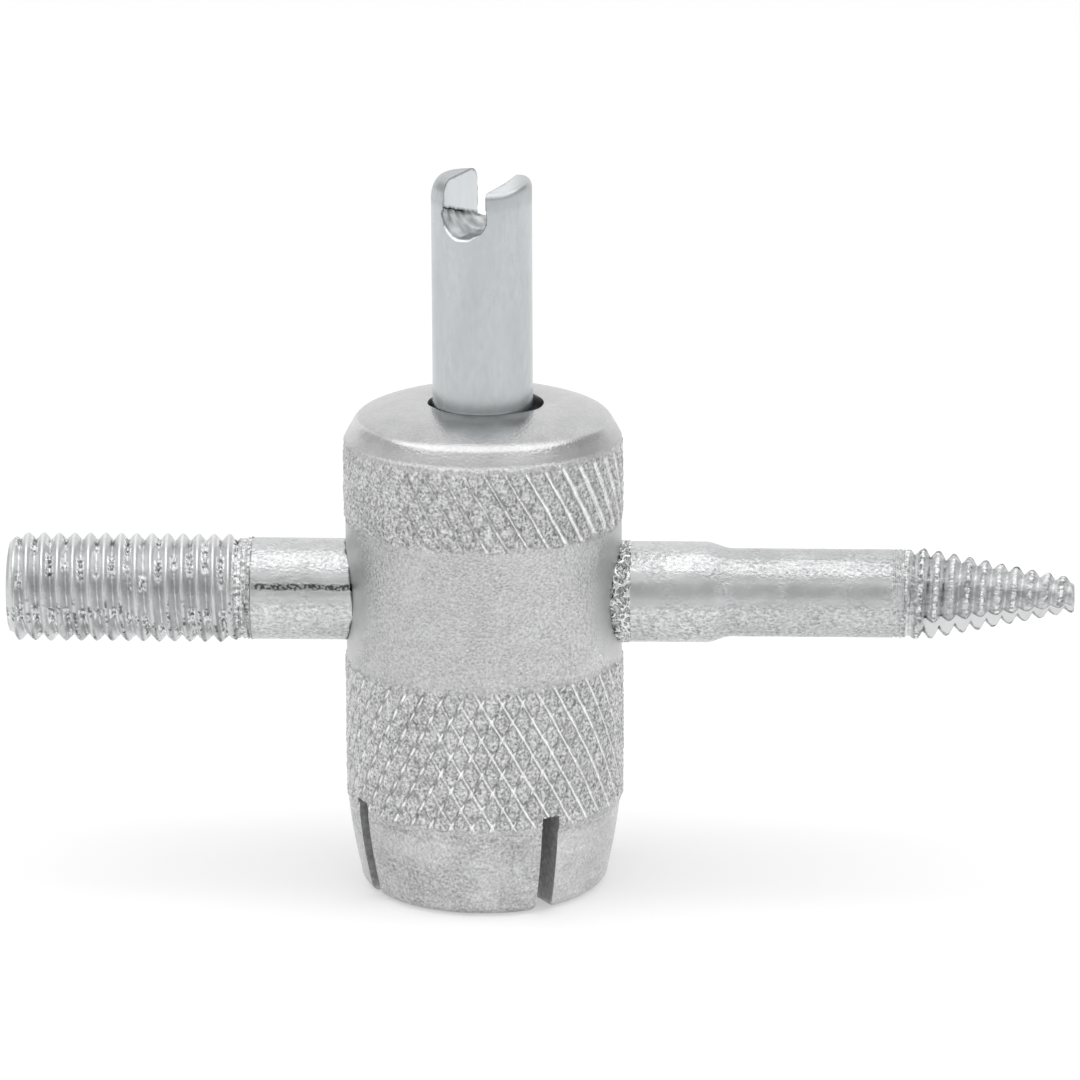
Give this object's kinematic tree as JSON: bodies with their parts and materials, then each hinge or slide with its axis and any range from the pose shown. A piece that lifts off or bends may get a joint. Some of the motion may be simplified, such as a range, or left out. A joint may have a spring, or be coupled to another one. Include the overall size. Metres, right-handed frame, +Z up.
{
  "type": "valve tool",
  "caption": "Hand tool for tyre valves: knurled hub with a split thread die below, a slotted core remover on top, a tap on one side and a tapered extractor on the other.",
  "frame": {"origin": "middle of the die's mouth, on the hub's axis, in the plane of the rim that the tool stands on", "axes": "+Z up the hub's axis to the core remover, +X out along the extractor, -X out along the tap, -Y towards the pictured front"},
  "size_m": [0.0482, 0.0126, 0.0329],
  "materials": {
    "hub_zinc": "bright zinc plate over knurled and turned steel, mottled",
    "remover_zinc": "smooth bright zinc plate",
    "tap_zinc": "bright zinc plate over a rolled thread",
    "extractor_zinc": "bright zinc plate over a turned shank and rolled thread"
  },
  "bodies": {
    "root": {"body": "hub_zinc", "core_remover": "remover_zinc", "tap_pin": "tap_zinc", "extractor_pin": "extractor_zinc"}
  },
  "joints": []
}
